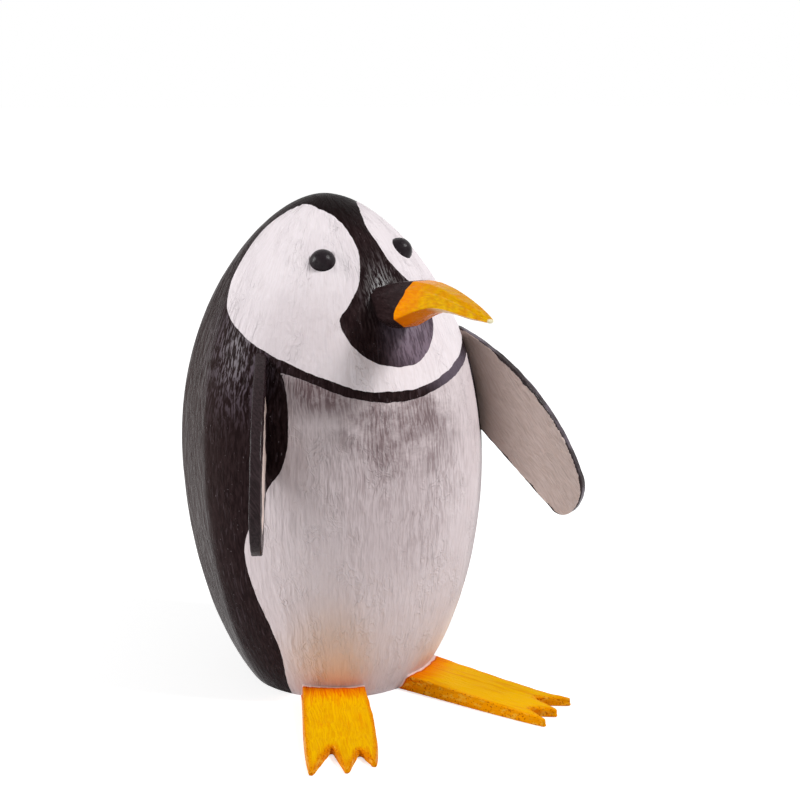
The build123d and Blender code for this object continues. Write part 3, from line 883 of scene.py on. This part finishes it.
def painted_foot_material(brush):
    """Yellow boards shaded orange towards the heel, the edges and the sides, with painted highlights on the
    edges.
    """
    made, tree, shader = new_material("painted_foot")
    grain = attribute(tree, "grain_place", "Vector")
    along = stretched(tree, grain, unstretched, (math.pi / 2, 0, 0))
    marks = use_group(tree, brush, {"Place": along, "Width": 0.6 * mm, "Length": 36.0 * mm})
    out = attribute(tree, "outside_block")
    rim = attribute(tree, "rim_distance")
    ragged = times(tree, sums(tree, "SUBTRACT", marks["Tone"], 0.5), 7 * mm)
    heel = ramp(tree, sums(tree, "ADD", out, ragged), 2 * mm, 19 * mm, 1.0, 0.0)
    edge = ramp(tree, rim, 0.1 * mm, 3.0 * mm, 1.0, 0.0)
    orange_share = sums(tree, "MAXIMUM", heel, times(tree, edge, 0.6))
    yellow = blend(tree, marks["Tone"], colour(225, 156, 0), colour(241, 187, 0))
    orange = blend(tree, marks["Tone"], colour(218, 92, 0), colour(236, 130, 0))
    # Painted light: the far foot's yellow and orange are brighter.
    far_foot_painted_light = ramp(tree, object_place(tree, "X"), 0, 30 * mm, 0.0, 0.7)
    yellow = blend(tree, far_foot_painted_light, yellow, colour(255, 192, 0))
    orange = blend(tree, far_foot_painted_light, orange, colour(250, 140, 0))
    paint = blend(tree, orange_share, yellow, orange)
    streak = cloud(tree, stretched(tree, grain, (420, 26, 420)), detail=3.0, rough=0.6)
    paint = blend(tree, ramp(tree, streak, 0.52, 0.68, 0.0, 0.42), paint, colour(226, 120, 0))
    # Painted highlight: pale patches along the top edges, where light catches them.
    painted_sheen = cloud(tree, stretched(tree, grain, (420, 200, 420)), detail=2.0)
    painted_sheen = ramp(tree, painted_sheen, 0.52, 0.62, 0.0, 0.5)
    painted_sheen = times(tree, painted_sheen, ramp(tree, rim, 0.0, 1.2 * mm, 1.0, 0.0))
    paint = blend(tree, painted_sheen, paint, colour(246, 196, 70))
    spatter = ramp(tree, cloud(tree, stretched(tree, grain, (900, 900, 900)), detail=2.0), 0.58, 0.64)
    spatter = times(tree, spatter, times(tree, edge, 0.75))
    paint = blend(tree, spatter, paint, colour(178, 70, 6))
    lap_wander = cloud(tree, stretched(tree, grain, (260, 260, 260)), detail=3.0)
    lap = sums(tree, "SUBTRACT", out, times(tree, lap_wander, 2.6 * mm))
    shadow_line = ramp(tree, lap, 0.2 * mm, 1.6 * mm, 0.7, 0.0)
    paint = blend(tree, shadow_line, paint, colour(196, 66, 10))
    lapped = ramp(tree, lap, -0.5 * mm, 0.1 * mm, 1.0, 0.0)
    paint = blend(tree, lapped, paint, colour(236, 208, 200))
    tree.links.new(paint, shader["Base Color"])
    tree.links.new(ramp(tree, marks["Tone"], 0.0, 1.0, 0.4, 0.26), shader["Roughness"])
    shader["Specular IOR Level"].default_value = 0.01
    relief = times(tree, marks["Height"], 0.45 * mm)
    raise_paint(tree, shader, relief)
    return made


def bare_wood_material():
    """Unpainted pale wood with its grain."""
    made, tree, shader = new_material("bare_wood")
    here = object_place(tree)
    rings = cloud(tree, stretched(tree, here, (380, 60, 380)), detail=4.0, rough=0.6, distort=1.0)
    wood = blend(tree, ramp(tree, rings, 0.3, 0.7), colour(196, 160, 116), colour(166, 126, 84))
    tree.links.new(wood, shader["Base Color"])
    shader["Roughness"].default_value = 0.7
    bump = add(tree, "Bump", {"Height": rings, "Distance": 0.15 * mm, "Strength": 1.0})
    tree.links.new(bump.outputs[0], shader["Normal"])
    return made


def screw_steel_material():
    """Zinc-plated steel."""
    made, tree, shader = new_material("screw_steel")
    here = object_place(tree)
    tone = cloud(tree, stretched(tree, here, (900, 900, 900)), detail=3.0)
    tree.links.new(blend(tree, tone, colour(150, 150, 148), colour(186, 186, 182)), shader["Base Color"])
    shader["Metallic"].default_value = 1.0
    tree.links.new(ramp(tree, tone, 0.3, 0.7, 0.32, 0.5), shader["Roughness"])
    return made


def assign(piece, *materials):
    """Give a piece its materials."""
    piece.data.materials.clear()
    for made in materials:
        piece.data.materials.append(made)


# Stage, lights and camera

def seen_share(tree):
    """1 for light that goes to the camera, straight, mirrored or through glass, and 0 for the rest."""
    path = add(tree, "LightPath").outputs
    straight = sums(tree, "MAXIMUM", path["Is Camera Ray"], path["Is Transmission Ray"])
    return sums(tree, "MAXIMUM", straight, path["Is Glossy Ray"])


def make_floor():
    """A plain pale floor that reads as white and keeps the shadow."""
    bm = bmesh.new()
    bmesh.ops.create_grid(bm, x_segments=1, y_segments=1, size=floor_half)
    floor = new_piece("floor", bm)
    made, tree, shader = new_material("white_floor")
    seen = seen_share(tree)
    shader["Base Color"].default_value = (floor_grey, floor_grey, floor_grey, 1.0)
    shader["Roughness"].default_value = 1.0
    shader["Specular IOR Level"].default_value = 0.0
    shader["Emission Color"].default_value = plain_white
    here = object_place(tree)
    far = add(tree, "VectorMath", {0: here}, operation="LENGTH").outputs["Value"]
    own_light = ramp(tree, far, shine_starts, shine_full, floor_shine_near, floor_shine_far)
    tree.links.new(times(tree, seen, own_light), shader["Emission Strength"])
    assign(floor, made)


def make_world():
    """Weak even light from all round, seen and mirrored as white."""
    world = bpy.data.worlds.new("studio")
    bpy.context.scene.world = world
    world.use_nodes = True
    tree = world.node_tree
    tree.nodes.clear()
    seen = seen_share(tree)
    strength = add(tree, "Mix", {0: seen, 2: surrounding_light, 3: 1.0}).outputs[0]
    light = add(tree, "Background", {"Color": plain_white, "Strength": strength})
    output = add(tree, "OutputWorld")
    tree.links.new(light.outputs[0], output.inputs[0])


def make_lamp(name, turn, rise, size, power):
    """A square soft lamp, placed by the angle round from the front and the angle above the table."""
    turn, rise = math.radians(turn), math.radians(rise)
    way = Vector((math.cos(rise) * math.sin(turn), -math.cos(rise) * math.cos(turn), math.sin(rise)))
    lamp = bpy.data.lights.new(name, "AREA")
    lamp.size = size
    lamp.energy = power
    made = bpy.data.objects.new(name, lamp)
    made.location = lamp_aim + way * lamp_distance
    made.rotation_euler = way.to_track_quat("Z", "Y").to_euler()
    bpy.context.scene.collection.objects.link(made)


def make_camera():
    """The photograph's camera."""
    data = bpy.data.cameras.new("camera")
    data.sensor_width = camera_film
    data.lens = camera_lens
    data.shift_x = camera_shift
    made = bpy.data.objects.new("camera", data)
    made.location = camera_place
    made.rotation_euler = (camera_aim - camera_place).to_track_quat("-Z", "Y").to_euler()
    bpy.context.scene.collection.objects.link(made)
    bpy.context.scene.camera = made


# Everything together

brush = brush_group()
painted_body = painted_body_material(brush)
bare_wood = bare_wood_material()
painted_eye = painted_eye_material()
painted_flipper = painted_flipper_material(brush)
painted_foot = painted_foot_material(brush)
screw_steel = screw_steel_material()

assign(make_body(), painted_body, bare_wood)
assign(make_beak(), painted_beak_material(brush))
for side in ("left", "right"):
    assign(make_flipper(side), painted_flipper)
    assign(make_foot(side), painted_foot)
for node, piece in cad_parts.items():
    if "eye" in node:
        assign(piece, painted_eye)
    elif "screw" in node:
        assign(piece, screw_steel)
    elif "dowel" in node:
        assign(piece, bare_wood)

make_floor()
make_world()
make_lamp("key_lamp", turn=42, rise=45, size=0.45, power=27)
make_lamp("side_lamp", turn=-116, rise=24, size=0.7, power=23)
make_lamp("fill_lamp", turn=-64, rise=8, size=0.8, power=4.5)
make_camera()
bpy.context.scene.view_settings.view_transform = "Standard"
